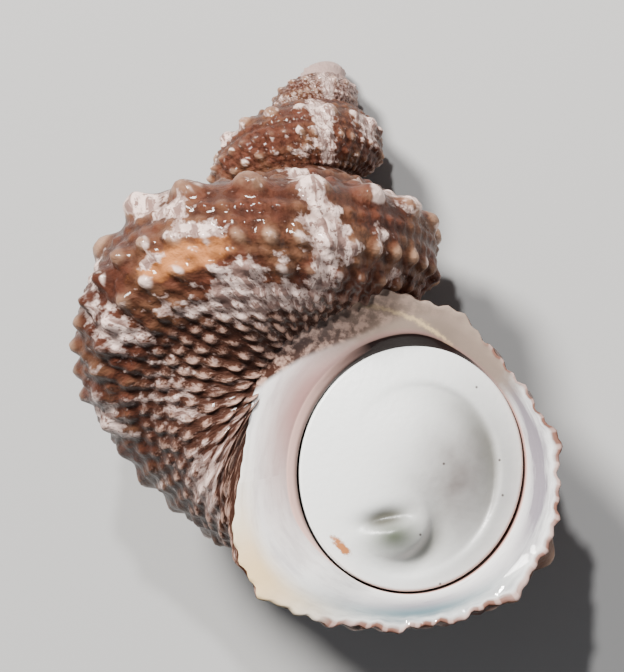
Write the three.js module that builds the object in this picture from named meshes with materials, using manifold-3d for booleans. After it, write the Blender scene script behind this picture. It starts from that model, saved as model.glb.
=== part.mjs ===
// A beaded turban shell lying on its back, with its limy operculum closing the mouth.
//
// The shell is a growth spiral. One mouth outline is repeated with a turn about the coiling axis and a
// shrink towards the apex, so every whorl is the same shape at another size. Cords run along the whorls
// at fixed angles round the mouth outline, and carry rows of beads.
//
// Shell frame, before the shell is laid down: apex at the origin, coiling axis along Z with the apex at
// the top, mouth on the +X side and facing -Y. Units are millimetres.

import * as THREE from 'three';
import { mergeVertices } from 'three/addons/utils/BufferGeometryUtils.js';
import Module from 'manifold-3d';

const wasm = await Module();
wasm.setup();

// ---- Growth of the shell ----
const growthPerTurn = 2.167;      // every length grows this many times in one turn
const mouthToAxis = 8.1;          // mouth centre to the coiling axis
const apexToMouth = 27.1;         // mouth centre to the apex, along the axis
const mouthRadius = 9.2;          // mean radius of the mouth outline
const mouthLean = 22.4;           // degrees that the mouth plane leans from the axis
const lapHeight = 2.1;            // extra height where a whorl laps up onto the one before it
const lapAt = 116;                // degrees round the mouth
const lapHalfWidth = 24;          // degrees
const innerLapShare = 0.8;        // a second lap beside it, nearer the axis
const innerLapAt = 143;           // degrees
const rampDrop = 3.5;             // how far the ramp above the shoulder is let down on the last whorl
const rampAt = 83;                // degrees
const rampHalfWidth = 26;         // degrees
const rampStart = 0.03;           // the ramp appears between these two distances behind the lip, in turns
const rampFull = 0.25;
const rampFadeStart = 1.0;        // and mostly fades again between these two, up the spire
const rampFadeEnd = 1.7;
const rampOnSpire = 0.2;          // share of the drop that is left on the spire
const shelfDrop = 1.47;           // the ramp reaches this much further down, close behind the shoulder
const shelfAt = 51;               // degrees
const shelfHalfWidth = 16;        // degrees
const rowSlip = 11;               // degrees that the rows sit lower on the front of the last whorl
const rowSlipTurn = -0.78;
const rowSlipTurns = 0.14;
const browSwell = 0.9;            // the shoulder stands higher on the left side of the last whorl
const browAt = 38;                // degrees
const browHalfWidth = 13;         // degrees
const browTurn = -0.6;
const browTurns = 0.06;
const cheekTuck = 0.4;            // the lip is flatter above its outer side
const cheekAt = 60;               // degrees
const cheekHalfWidth = 16;        // degrees
const cheekTurns = 0.1;
const baseTuck = 1.1;             // how far the base is drawn in round the back of the last whorl
const baseTuckAt = -84;           // degrees
const baseTuckHalfWidth = 44;     // degrees
const baseTuckTurn = -0.45;
const baseTuckTurns = 0.2;
const footSwell = 0.5;            // the lip's foot stands out by this much
const footAt = -134;              // degrees
const footHalfWidth = 24;         // degrees
const footTurns = 0.07;
const spireExtra = 0.2;           // the spire's whorls are wider than the rule makes them, by this much,
const spireStart = 1.1;           // from between these two distances behind the lip
const spireFull = 1.6;
const tipExtra = 0.16;            // and its first whorls by this much more
const tipStart = 1.9;
const tipFull = 2.6;
const wallPastAxis = 1.35;        // furthest that a whorl's inner wall crosses the axis
const wallPastAxisBlend = 0.6;    // softness of that limit
const nucleusRadius = 0.95;       // blunt first whorl at the apex
const nucleusDepth = 1.5;         // its centre below the apex point
const pillarTop = 1.5;            // the solid pillar inside the spire starts this far from the apex
const pillarBottom = 21;
const pillarSlope = 0.09;         // its radius for each mm from the apex

// ---- Cords round the whorl: angle at the mouth in degrees, height and half width in mm and degrees ----
const cords = [
  { at: 62, height: 0.30, halfWidth: 5 },
  { at: 44, height: 0.45, halfWidth: 5.5 },
  { at: 23, height: 1.5, halfWidth: 9, beads: 16.7, beadStart: 0.82 },
  { at: 0, height: 0.32, halfWidth: 5 },
  { at: -16, height: 0.75, halfWidth: 6 },
  { at: -27, height: 0.30, halfWidth: 4 },
  { at: -37, height: 0.50, halfWidth: 5.5 },
  { at: -48, height: 0.32, halfWidth: 4.5 },
  { at: -59, height: 0.38, halfWidth: 5 },
  { at: -71, height: 0.32, halfWidth: 5 },
  { at: -84, height: 0.32, halfWidth: 5 },
  { at: -98, height: 0.28, halfWidth: 5 },
  { at: -112, height: 0.28, halfWidth: 5 },
];
const beadShare = 0.8;            // share of a beaded cord's height that comes and goes with its beads
const reliefShrink = 0.75;        // relief shrinks towards the apex as growth to this power

// ---- Body chamber behind the mouth ----
const chamberOffset = new THREE.Vector2(0.55, 0.72);  // chamber centre from the mouth centre, in the mouth
const chamberHalfWidth = 7.05;
const chamberHalfHeight = 7.75;
const chamberTurns = 1.2;
const chamberTaper = 0.93;        // how far the bore narrows against the whorl over one turn
const lipFlare = 1.1;             // the bore opens this much at the lip
const lipFlareTurns = 0.02;

// ---- Operculum ----
const mouthTravelPerTurn = 61;    // how far the mouth centre would travel in one turn, at the lip
const lidGap = 0.35;              // between the lid's edge and the bore
const lidSink = 0.9;              // lid's rim below the lip
const lidEdgeHeight = 1.2;        // height of the lid's upright edge
const lidCrown = 0.7;             // rise of the outer face over the rim
const lidBack = 0.6;              // depth of the inner face under the edge
const lidSides = 40;
const lidRings = 4;               // rings across each face

// ---- How the shell lies: it rests on its body whorl and spire, with the mouth looking up ----
const apexDip = 35.6;             // degrees that the apex end of the coiling axis dips under level
const axisRoll = 23.3;             // degrees that the shell rolls about its coiling axis

const seamTolerance = 0.03;       // slivers thinner than this are cleaned from the joins

const degrees = THREE.MathUtils.degToRad;

// Angle from one direction round the mouth to another, between -180 and 180 degrees, in radians.
function turnBetween(from, to) {
  return Math.atan2(Math.sin(to - from), Math.cos(to - from));
}

// 1 in the middle, falling off smoothly over the width.
function bell(distance, width) {
  return Math.exp(-((distance / width) ** 2));
}

// The same round the mouth, with all three angles given: v in radians, the middle and the width in degrees.
function bellRound(v, at, halfWidth) {
  return bell(turnBetween(degrees(at), v), degrees(halfWidth));
}

// The angle by which rows are placed at turn t and mouth angle v, in radians.
function rowAngle(t, v) {
  return v + degrees(rowSlip) * bell(t - rowSlipTurn, rowSlipTurns);
}

// Mouth outline's distance from its centre; 0 degrees is outward and 90 degrees is towards the apex.
// It changes a little with the turn t, because the last whorl has a stronger shoulder than the spire.
function mouthOutline(t, v) {
  const { smoothstep } = THREE.MathUtils;
  const round = 1 + 0.056 * Math.sin(2 * v) - 0.064 * Math.sin(3 * v) + 0.0145 * Math.cos(4 * v);
  const row = rowAngle(t, v);
  const lap = bellRound(row, lapAt, lapHalfWidth) + innerLapShare * bellRound(row, innerLapAt, lapHalfWidth);
  const lastWhorl = smoothstep(-t, rampStart, rampFull)
    * (1 - (1 - rampOnSpire) * smoothstep(-t, rampFadeStart, rampFadeEnd));
  const ramp = lastWhorl * (rampDrop * bellRound(v, rampAt, rampHalfWidth)
    + shelfDrop * bellRound(row, shelfAt, shelfHalfWidth));
  const brow = bellRound(v, browAt, browHalfWidth) * bell(t - browTurn, browTurns);
  const cheek = bellRound(v, cheekAt, cheekHalfWidth) * bell(t, cheekTurns);
  const tuck = bellRound(v, baseTuckAt, baseTuckHalfWidth) * bell(t - baseTuckTurn, baseTuckTurns);
  const foot = bellRound(v, footAt, footHalfWidth) * bell(t, footTurns);
  const spire = spireExtra * smoothstep(-t, spireStart, spireFull) + tipExtra * smoothstep(-t, tipStart, tipFull);
  return mouthRadius * round + lapHeight * lap - ramp - baseTuck * tuck + footSwell * foot
    + browSwell * brow - cheekTuck * cheek + spire * growthPerTurn ** -t;
}

// Height of the cords and beads at turn t (0 at the lip, negative towards the apex) and mouth angle v.
function relief(t, v) {
  let height = 0;
  for (const cord of cords) {
    const fromCrest = turnBetween(degrees(cord.at), rowAngle(t, v)) / degrees(cord.halfWidth);
    const ridge = Math.exp(-(fromCrest ** 2));
    const swell = cord.beads ? 0.5 + 0.5 * Math.cos(2 * Math.PI * (t * cord.beads + cord.beadStart)) : 1;
    height += cord.height * ridge * (1 - beadShare + beadShare * swell);
  }
  return height * growthPerTurn ** ((reliefShrink - 1) * t);
}

// A point of the mouth plane, given from the mouth centre, carried back along the growth spiral by t turns.
function onSpiral(t, outward, towardsApex) {
  const free = mouthToAxis + outward + wallPastAxis;
  const x = 0.5 * (free + Math.hypot(free, wallPastAxisBlend)) - wallPastAxis;
  const y = -towardsApex * Math.sin(degrees(mouthLean));
  const z = -apexToMouth + towardsApex * Math.cos(degrees(mouthLean));
  const size = growthPerTurn ** t;
  return new THREE.Vector3(x * size, y * size, z * size)
    .applyAxisAngle(new THREE.Vector3(0, 0, 1), -2 * Math.PI * t);
}

function whorlPoint(t, v) {
  const radius = mouthOutline(t, v) + relief(t, v);
  return onSpiral(t, radius * Math.cos(v), radius * Math.sin(v));
}

// Bore of the body chamber, made smaller all round by an inset.
function boreRing(t, v, inset) {
  const taper = chamberTaper ** -t;
  const outward = (chamberHalfWidth * taper - inset) * Math.cos(v);
  const towardsApex = (chamberHalfHeight * taper - inset) * Math.sin(v);
  return onSpiral(t, chamberOffset.x + outward, chamberOffset.y + towardsApex);
}

// The same bore, flared where it meets the lip.
function chamberPoint(t, v) {
  const flare = lipFlare * Math.exp(-((Math.min(t, 0) / lipFlareTurns) ** 2));
  return boreRing(t, v, -flare);
}

// A closed solid through rings of points, with a fan over each end.
function solidThroughRings(rings) {
  const sides = rings[0].length;
  const points = rings.flat();
  const triangles = [];
  for (let ring = 0; ring + 1 < rings.length; ring += 1) {
    for (let side = 0; side < sides; side += 1) {
      const a = ring * sides + side;
      const b = ring * sides + (side + 1) % sides;
      triangles.push(a, b, b + sides, a, b + sides, a + sides);
    }
  }
  const centreOf = (ring) => ring.reduce((sum, p) => sum.add(p), new THREE.Vector3()).divideScalar(sides);
  points.push(centreOf(rings[0]), centreOf(rings.at(-1)));
  const first = points.length - 2;
  const lastRing = (rings.length - 1) * sides;
  for (let side = 0; side < sides; side += 1) {
    const next = (side + 1) % sides;
    triangles.push(first, next, side);
    triangles.push(first + 1, lastRing + side, lastRing + next);
  }
  return new wasm.Manifold(new wasm.Mesh({
    numProp: 3,
    vertProperties: new Float32Array(points.flatMap((p) => p.toArray())),
    triVerts: new Uint32Array(triangles),
  }));
}

// A stretch of tube from one turn to a later one, with rings evenly spread along it.
function sweep(pointAt, from, to, steps, angles) {
  const rings = [];
  for (let step = 0; step <= steps; step += 1) {
    const t = from + (to - from) * step / steps;
    rings.push(angles.map((v) => pointAt(t, v)));
  }
  return solidThroughRings(rings);
}

function evenAngles(count) {
  return Array.from({ length: count }, (_, i) => -Math.PI + 2 * Math.PI * i / count);
}

// Angles on the crest of each cord above a lowest one, and in the furrow beside it, with even steps
// round the rest of the whorl.
function cordAngles(lowest, restSteps) {
  const crests = cords.map((cord) => cord.at).filter((at) => at >= lowest).sort((a, b) => a - b);
  const angles = [];
  for (let i = 0; i < crests.length; i += 1) {
    angles.push(crests[i]);
    if (i + 1 < crests.length) angles.push((crests[i] + crests[i + 1]) / 2);
  }
  const restStart = crests.at(-1);
  const restEnd = crests[0] + 360;
  for (let i = 1; i < restSteps; i += 1) angles.push(restStart + (restEnd - restStart) * i / restSteps);
  return angles.map(degrees);
}

function closedSolidFrom(geometry) {
  geometry.deleteAttribute('normal');
  geometry.deleteAttribute('uv');
  const merged = mergeVertices(geometry, 1e-3);
  return new wasm.Manifold(new wasm.Mesh({
    numProp: 3,
    vertProperties: merged.attributes.position.array,
    triVerts: new Uint32Array(merged.index.array),
  }));
}

function geometryOf(solid) {
  const mesh = solid.getMesh();
  const geometry = new THREE.BufferGeometry();
  geometry.setAttribute('position', new THREE.BufferAttribute(new Float32Array(mesh.vertProperties), 3));
  geometry.setIndex(new THREE.BufferAttribute(new Uint32Array(mesh.triVerts), 1));
  return geometry;
}

// The solid without the pinholes of no volume that crossing walls leave along the axis.
function largestBody(solid) {
  return solid.decompose().reduce((best, body) => (body.volume() > best.volume() ? body : best));
}

// ---- Shell ----
// Whorls from the lip towards the apex: each stretch is one turn, in joined thirds, coarser as it shrinks.
const whorlStretches = [
  { steps: 54, angles: cordAngles(-120, 8) },
  { steps: 36, angles: cordAngles(-98, 8) },
  { steps: 24, angles: evenAngles(16) },
  { steps: 12, angles: evenAngles(12) },
];
const thirds = 3;

function buildShell() {
  const pieces = [];
  whorlStretches.forEach(({ steps, angles }, turn) => {
    const stepLength = 1 / steps;
    for (let third = 0; third < thirds; third += 1) {
      const to = -turn - third / thirds;
      const overlap = stepLength;
      const from = to - 1 / thirds - overlap;
      pieces.push(sweep(whorlPoint, from, to, steps / thirds + 1, angles));
    }
  });
  const pillar = new THREE.CylinderGeometry(
    pillarSlope * pillarTop, pillarSlope * pillarBottom, pillarBottom - pillarTop, 9,
  );
  pillar.rotateX(Math.PI / 2);
  pillar.translate(0, 0, -(pillarTop + pillarBottom) / 2);
  pieces.push(closedSolidFrom(pillar));
  const nucleus = new THREE.SphereGeometry(nucleusRadius, 12, 8);
  nucleus.translate(0, 0, -nucleusDepth);
  pieces.push(closedSolidFrom(nucleus));

  const whole = wasm.Manifold.union(pieces);
  const bore = wasm.Manifold.union(boreStretches());
  return largestBody(whole.subtract(bore).simplify(seamTolerance));
}

function boreStretches() {
  const angles = evenAngles(18);
  const mouthEnd = sweep(chamberPoint, -0.06, 0.03, 6, angles);
  const middle = sweep(chamberPoint, -0.5, -0.05, 10, angles);
  const inner = sweep(chamberPoint, -0.9, -0.46, 10, angles);
  const end = sweep(chamberPoint, -chamberTurns, -0.86, 7, angles);
  return [mouthEnd, middle, inner, end];
}

// ---- Operculum ----
// A plug that follows the bore, with a crowned outer face and a shallower inner one.
function buildOperculum() {
  const angles = evenAngles(lidSides);
  const mouthNormal = new THREE.Vector3(0, -Math.cos(degrees(mouthLean)), -Math.sin(degrees(mouthLean)));
  const turnOfDepth = (depth) => -depth / mouthTravelPerTurn;
  const edgeRing = (depth) => angles.map((v) => boreRing(turnOfDepth(depth), v, lidGap));
  const faceRings = (rim, rise) => {
    const centre = rim.reduce((sum, p) => sum.add(p), new THREE.Vector3()).divideScalar(rim.length);
    return Array.from({ length: lidRings }, (_, i) => {
      const share = 1 - (i + 1) / (lidRings + 1);
      return rim.map((p) => centre.clone().lerp(p, share).addScaledVector(mouthNormal, rise * (1 - share ** 2)));
    });
  };
  const front = edgeRing(lidSink);
  const back = edgeRing(lidSink + lidEdgeHeight);
  return solidThroughRings([
    ...faceRings(back, -lidBack).reverse(), back, front, ...faceRings(front, lidCrown),
  ]);
}

// ---- The two pieces, laid down ----
function finished(name, solid, color, roughness) {
  const mesh = new THREE.Mesh(geometryOf(solid), new THREE.MeshStandardMaterial({ color, roughness, metalness: 0 }));
  mesh.name = name;
  return mesh;
}

const upright = new THREE.Group();
upright.add(finished('shell', buildShell(), 0x8c5f48, 0.35));
upright.add(finished('operculum', buildOperculum(), 0xf1f3f2, 0.3));
upright.rotation.set(-Math.PI / 2 - degrees(apexDip), 0, degrees(axisRoll), 'XYZ');

// The origin is under the middle of the lying shell, on the surface that it rests on.
const extent = new THREE.Box3().setFromObject(upright, true);
const middle = extent.getCenter(new THREE.Vector3());

const turbanShell = new THREE.Group();
turbanShell.add(upright);
turbanShell.position.set(-middle.x, -middle.y, -extent.min.z);

export default turbanShell;
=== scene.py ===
import math
from typing import NamedTuple

import bpy
import numpy as np
from bpy.props import FloatProperty, FloatVectorProperty, PointerProperty
from bpy.types import Operator, Panel, PropertyGroup
from mathutils import Matrix, Vector


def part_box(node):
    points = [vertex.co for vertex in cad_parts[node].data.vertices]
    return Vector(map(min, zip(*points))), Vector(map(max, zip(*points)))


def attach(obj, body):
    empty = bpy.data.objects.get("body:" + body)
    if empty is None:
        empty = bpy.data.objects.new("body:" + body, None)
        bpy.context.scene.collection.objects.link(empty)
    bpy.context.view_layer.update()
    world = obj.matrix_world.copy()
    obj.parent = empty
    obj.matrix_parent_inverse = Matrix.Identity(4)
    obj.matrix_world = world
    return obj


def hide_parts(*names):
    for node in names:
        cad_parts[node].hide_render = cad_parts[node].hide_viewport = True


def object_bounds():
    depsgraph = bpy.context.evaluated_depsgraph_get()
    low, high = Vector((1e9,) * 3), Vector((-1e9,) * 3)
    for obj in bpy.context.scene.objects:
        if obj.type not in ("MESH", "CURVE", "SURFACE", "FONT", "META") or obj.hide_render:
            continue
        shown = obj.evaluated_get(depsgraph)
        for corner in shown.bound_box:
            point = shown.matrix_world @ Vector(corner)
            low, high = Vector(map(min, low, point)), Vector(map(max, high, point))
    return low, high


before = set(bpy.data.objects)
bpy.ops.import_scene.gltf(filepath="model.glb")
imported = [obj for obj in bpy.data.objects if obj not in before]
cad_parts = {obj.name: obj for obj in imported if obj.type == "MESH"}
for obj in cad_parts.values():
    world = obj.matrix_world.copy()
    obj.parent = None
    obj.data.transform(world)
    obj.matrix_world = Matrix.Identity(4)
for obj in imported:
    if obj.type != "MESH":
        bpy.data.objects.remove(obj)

bl_info = {
    "name": "Turban shell",
    "version": (1, 0, 0),
    "blender": (4, 5, 0),
    "location": "View3D > Sidebar > Turban shell",
    "description": "Grows a beaded turban shell and makes its limy lid and a plain studio",
    "category": "Add Mesh",
}

MM = 0.001
CAD_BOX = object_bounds()
BODY = "root"


class Patch(NamedTuple):
    """A soft patch on the whorls. Turns are 0 at the lip and fall towards the apex."""

    at: float  # angle round the mouth in degrees, 0 outwards and 90 towards the apex
    width: float  # half width in degrees
    turn: float
    turns: float  # half width in turns
    strength: float = 1.0


class Oval(NamedTuple):
    """A soft oval on the lid, in mm from its middle: X outwards and Y towards the apex."""

    x: float
    y: float
    length: float  # half length, along X before it is tilted
    width: float  # half width
    tilt: float = 0.0  # degrees


# Cords along the whorls: angle round the mouth and half width in degrees, height in mm at the lip,
# beads in one turn, where the first bead starts, and how much of the height is in the beads.
CORDS = (
    dict(at=80, width=6.0, height=0.45, beads=28, start=0.1, share=0.8),
    dict(at=62, width=4.5, height=0.34, beads=44, start=0.5, share=0.75),
    dict(at=44, width=5.2, height=0.62, beads=33.4, start=0.6, share=0.8),
    dict(at=23, width=8.4, height=1.72, beads=16.7, start=0.82, share=0.93),
    dict(at=6, width=3.8, height=0.50, beads=60, start=0.7, share=0.8),
    dict(at=-5, width=3.4, height=0.36, beads=72, start=0.2, share=0.75),
    dict(at=-16, width=6.4, height=1.20, beads=36, start=0.6, share=0.85),
    dict(at=-27, width=3.6, height=0.50, beads=62, start=0.6, share=0.75),
    dict(at=-37, width=6.0, height=0.98, beads=31, start=0.1, share=0.85),
    dict(at=-48, width=4.2, height=0.42, beads=56, start=0.55, share=0.8),
    dict(at=-59, width=5.2, height=0.62, beads=44, start=0.8, share=0.82),
    dict(at=-71, width=4.6, height=0.40, beads=52, start=0.35, share=0.8),
    dict(at=-83, width=4.8, height=0.46, beads=44, start=0.9, share=0.85),
    dict(at=-95, width=4.4, height=0.46, beads=38, start=0.5, share=0.86),
    dict(at=-107, width=4.4, height=0.46, beads=33, start=0.2, share=0.88),
    dict(at=-119, width=4.2, height=0.48, beads=28, start=0.7, share=0.9),
    dict(at=-131, width=4.0, height=0.50, beads=24, start=0.1, share=0.9),
    dict(at=-143, width=4.0, height=0.50, beads=21, start=0.4, share=0.9),
    dict(at=-155, width=4.0, height=0.46, beads=18, start=0.8, share=0.85),
    dict(at=-167, width=4.0, height=0.40, beads=16, start=0.3, share=0.8),
)
# Beads rise no higher than this, in mm at the lip.
TALLEST_BEAD = 1.45
# Where the cords are worn, and the share of their height that is lost.
WORN_CORDS = (Patch(7, 30, -0.07, 0.07, 0.7), Patch(-62, 38, -0.38, 0.13, 0.38))
# Flutes round the mouth's edge.
FLUTES = 57
# Growth lines and folds, as the noise scale along one turn.
GROWTH_LINES = 95.0
GROWTH_FOLDS = 34.0

# Rows of cords slip down on the whorl's front and up on its left side: turn, half width in turns, degrees.
FRONT_SLIP = (-0.78, 0.14, 11)
SIDE_SLIP = (-0.595, 0.055, 8)
# Bulges and hollows of the mouth's outline that come and go along the whorl, in mm.
BULGES = (Patch(38, 13, -0.60, 0.06, 0.9), Patch(60, 16, 0.0, 0.10, -0.4), Patch(-134, 24, 0.0, 0.07, 0.5))
# Where the base is drawn in.
BASE_TUCK = Patch(-82, 44, -0.45, 0.20)

# Stretches of whorl from the lip towards the apex: first and last turn, rings along it, and columns
# round the part that shows, which runs between two angles, and round the rest.
WHORLS = (
    dict(back=-1 / 3, front=0.0, rings=80, shows=(-170, 130), columns=200, rest=30),
    dict(back=-2 / 3, front=-1 / 3, rings=80, shows=(-160, 110), columns=170, rest=14),
    dict(back=-1.0, front=-2 / 3, rings=80, shows=(-160, 110), columns=170, rest=14),
    dict(back=-4 / 3, front=-1.0, rings=60, shows=(-132, 110), columns=130, rest=16),
    dict(back=-5 / 3, front=-4 / 3, rings=60, shows=(-132, 110), columns=120, rest=16),
    dict(back=-2.0, front=-5 / 3, rings=60, shows=(-132, 110), columns=120, rest=16),
    dict(back=-7 / 3, front=-2.0, rings=40, shows=(-56, 104), columns=54, rest=14),
    dict(back=-8 / 3, front=-7 / 3, rings=40, shows=(-56, 104), columns=54, rest=14),
    dict(back=-3.0, front=-8 / 3, rings=40, shows=(-56, 104), columns=54, rest=14),
    dict(back=-3.5, front=-3.0, rings=36, shows=(-56, 104), columns=36, rest=12),
    dict(back=-4.0, front=-3.5, rings=36, shows=(-56, 104), columns=36, rest=12),
)
# Stretches of the bore that makes the body chamber.
BORES = (dict(back=-0.26, front=-0.031, rings=16),)
BORE_COLUMNS = 72
# Stretches of bore are numbered from here on, and those of whorl from nought.
FIRST_BORE = 50
# Values of the way across the wall at the closed ends of a stretch, and of the growth map inside the bore.
ENDS = 4.0
INSIDE = 10.0
# A loose bit of wall with fewer points than this is thrown away.
FEWEST_POINTS = 2000

# Pale flames. The last two are broad and faint.
PALE = (
    Patch(-40, 22, -0.515, 0.026, 0.85),
    Patch(24, 10, -0.600, 0.016, 1.1),
    Patch(8, 8, -0.632, 0.020, 0.9),
    Patch(-14, 6, -0.655, 0.022, 0.9),
    Patch(-21, 4, -0.600, 0.020, 0.8),
    Patch(-46, 10, -0.668, 0.020, 1.0),
    Patch(-68, 20, -0.645, 0.055, 1.0),
    Patch(-72, 16, -0.720, 0.040, 0.8),
    Patch(-92, 34, -0.440, 0.070, 0.55),
    Patch(-118, 34, -0.280, 0.070, 0.75),
    Patch(32, 20, -0.880, 0.030, 0.8),
    Patch(12, 26, -1.880, 0.040, 1.0),
    Patch(14, 12, -1.560, 0.030, 1.0),
    Patch(2, 10, -0.520, 0.020, 0.8),
    Patch(-40, 14, -0.400, 0.030, 0.7),
    Patch(-16, 9, -0.830, 0.012, 0.8),
    Patch(-40, 9, -0.860, 0.012, 0.7),
    Patch(-42, 10, -1.700, 0.025, 0.7),
    Patch(5, 22, -2.350, 0.060, 0.9),
    Patch(5, 40, -1.700, 0.110, 0.14),
    Patch(5, 45, -2.500, 0.400, 0.16),
)
# The turn of the pale ray that crosses every whorl from the suture down.
RAY = -0.738
# The orange band, and beside it painted shade that darkens the last whorl's left side.
ORANGE_BAND = Patch(-27, 11, -0.625, 0.055)
PAINTED_SIDE_SHADE = Patch(-10, 50, -0.515, 0.055, 0.6)
# Pale tips along the outer lip's margin: angle and half width in degrees.
PALE_TIPS = ((-100, 3), (-78, 3), (-55, 4), (-30, 7), (-10, 3), (10, 5), (48, 4))
# One turn is as long as this many radians round the whorl on the flat map that carries the colours.
MAP_TURN = 11.5

# The lid's raised boss, the dimple beside it, a broad swell, the painted shade over its outer side where its
# dome slopes away from the light, and the ochre stain at its foot.
BOSS = Oval(-0.38, -4.15, 1.75, 1.15, 11.5)
DIMPLE = Oval(-1.10, -3.17, 1.50, 0.58, 22)
SWELL = Oval(1.6, 0.8, 3.0, 3.4)
LID_SIDE_SHADE_OVAL = Oval(3.0, 0.2, 3.6, 5.0)
STAIN = Oval(-3.36, -4.98, 1.1, 0.36, -36.9)
# Middle and radius in mm of the groove that curls round the boss.
GROOVE = (-0.54, -3.33, 2.35)
# The lid's middle for its colours, from the mouth's centre, in mm outwards and towards the apex alike.
LID_OFFSET = 0.6
# Specks on the lid, from its middle: outwards and towards the apex, in mm.
SPECKS = ((3.0, 5.5), (1.8, 0.7), (5.0, 1.5), (5.5, -0.5), (1.1, -3.6), (2.7, -6.2))

# Lights round the middle of the shell, in metres back to the camera, to its right and up, with their widths.
LIGHTS = {
    "key": dict(back=0.27, right=-0.22, up=0.25, width=0.10, colour=(1.0, 0.98, 0.95)),
    "glint": dict(back=0.34, right=-0.06, up=0.22, width=0.022, colour=(1.0, 1.0, 1.0)),
    "fill": dict(back=0.20, right=0.40, up=-0.10, width=0.35, colour=(0.95, 0.97, 1.0)),
}
SKY_COLOUR = (0.9, 0.93, 1.0, 1.0)
SENSOR_HEIGHT = 36.0
FLOOR_HALF = 3.0


# ---------------------------------------------------------------- settings
# Each function makes one kind of setting. Lengths are given in mm and angles in degrees.

def length(name, description, default_mm):
    return FloatProperty(name=name, description=description, default=default_mm * MM,
                         subtype="DISTANCE", unit="LENGTH", precision=5)


def number(name, description, default):
    return FloatProperty(name=name, description=description, default=default, precision=4)


def angle(name, description, default_degrees):
    return FloatProperty(name=name, description=description, default=math.radians(default_degrees),
                         subtype="ANGLE", unit="ROTATION")


def colour(name, description, default):
    return FloatVectorProperty(name=name, description=description, default=(*default, 1.0), size=4,
                               subtype="COLOR", min=0.0, max=1.0)


def power(name, description, default):
    return FloatProperty(name=name, description=description, default=default, unit="POWER")


class ShellSizes(PropertyGroup):
    growth: number("Growth per turn", "How many times every length grows in one turn", 2.167)
    mouth_to_axis: length("Mouth to axis", "Mouth centre to the coiling axis", 8.1)
    apex_to_mouth: length("Apex to mouth", "Mouth centre to the apex along the axis", 27.1)
    mouth_radius: length("Mouth radius", "Mean radius of the mouth's outline", 9.15)
    mouth_lean: angle("Mouth lean", "Lean of the mouth plane from the axis", 22.4)
    lap: length("Shoulder lap", "How far a whorl laps up onto the one before it", 2.1)
    lap_at: angle("Lap angle", "Where round the mouth the lap is highest", 116)
    lap_width: angle("Lap half width", "Half width of the lap round the mouth", 24)
    ramp_drop: length("Ramp drop", "How far the ramp above the shoulder is let down", 3.5)
    ramp_at: angle("Ramp angle", "Where round the mouth the ramp is lowest", 83)
    ramp_width: angle("Ramp half width", "Half width of the ramp round the mouth", 26)
    base_tuck: length("Base tuck", "How far the base is drawn in halfway round the last whorl", 2.0)
    past_axis: length("Past the axis", "Furthest that a whorl's inner wall crosses the axis", 1.35)
    past_axis_blend: length("Past the axis blend", "Softness of that limit", 0.6)
    relief_fade: number("Relief fade", "Relief shrinks towards the apex as growth to this power", 0.88)
    travel: length("Mouth travel", "How far the mouth would travel in one turn at the lip", 61)
    nucleus_radius: length("First whorl radius", "Radius of the blunt first whorl", 0.95)
    nucleus_depth: length("First whorl depth", "Its centre below the apex point", 1.5)
    pillar_top: length("Pillar top", "Where the solid pillar starts below the apex", 1.5)
    pillar_bottom: length("Pillar bottom", "Where the solid pillar ends below the apex", 21)
    pillar_slope: number("Pillar slope", "Radius of the pillar for its distance from the apex", 0.09)


class RecessSizes(PropertyGroup):
    pad_radius: length("Pad radius", "Radius of the pad that fills the hollow by the inner lip", 1.5)
    pad_forward: length("Pad forward", "Pad centre from the axis, towards the mouth's side", 0.1)
    pad_down: length("Pad down", "Pad centre below the apex", 21.6)
    seat_outward: length("Seat outward", "Seat centre from the mouth centre, outwards", 0.70)
    seat_upward: length("Seat upward", "Seat centre from the mouth centre, towards the apex", 0.71)
    seat_half_width: length("Seat half width", "Half width of the seat round the lid", 6.80)
    seat_half_height: length("Seat half height", "Half height of the seat round the lid", 7.33)
    seat_depth: length("Seat depth", "Foot of the recess wall below the lip", 1.05)
    seat_wall: length("Seat wall", "Depth of the upright wall under it", 1.1)
    recess_slope: length("Recess slope", "Width of the sloping wall above the seat on the inner side", 0.60)
    lip_bevel: length("Lip bevel", "Fall of the free lip from its edge to the recess", 0.75)
    callus_rise: length("Callus rise", "Height of the smooth pad along the inner lip", 0.45)
    spread: length("Callus spread", "How far the callus spreads over the whorl before it", 0.9)
    spread_rise: length("Callus climb", "How high the callus climbs up that whorl", 2.3)


class LyingShell(PropertyGroup):
    tip: angle("Tip", "How far the upright shell is tipped back to lie down", -125.6)
    roll: angle("Roll", "Roll of the lying shell about its coiling axis", 23.3)
    place_x: length("Place X", "Apex point, from the frame's origin", 0)
    place_y: length("Place Y", "Apex point, from the frame's origin", 0)
    place_z: length("Place Z", "Apex point, from the frame's origin", 0)


class BoreSizes(PropertyGroup):
    outward: length("Bore outward", "Bore centre from the mouth centre, outwards", 0.55)
    upward: length("Bore upward", "Bore centre from the mouth centre, towards the apex", 0.72)
    half_width: length("Bore half width", "Half width of the bore at the lip", 7.05)
    half_height: length("Bore half height", "Half height of the bore at the lip", 7.75)
    taper: number("Bore taper", "How far the bore narrows against the whorl in one turn", 0.93)


class LidSizes(PropertyGroup):
    gap: length("Lid gap", "Gap between the lid and the bore", 0.35)
    sink: length("Lid sink", "Depth of the lid's rim below the lip", 0.9)
    edge: length("Lid edge", "Height of the lid's upright edge", 1.2)
    crown: length("Lid crown", "Rise of the outer face over the rim", 0.7)
    back: length("Lid back", "Depth of the inner face under the edge", 0.6)
    rounding: length("Lid rounding", "Radius of the rounded rim", 0.22)
    aside: length("Lid aside", "How far the lid sits off the bore's middle, outwards", 0.13)
    along: length("Lid along", "How far the lid sits off the bore's middle, towards the apex", 0.12)
    trim: length("Lid trim", "How much smaller the finished lid is than the plain one", 0.07)


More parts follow.
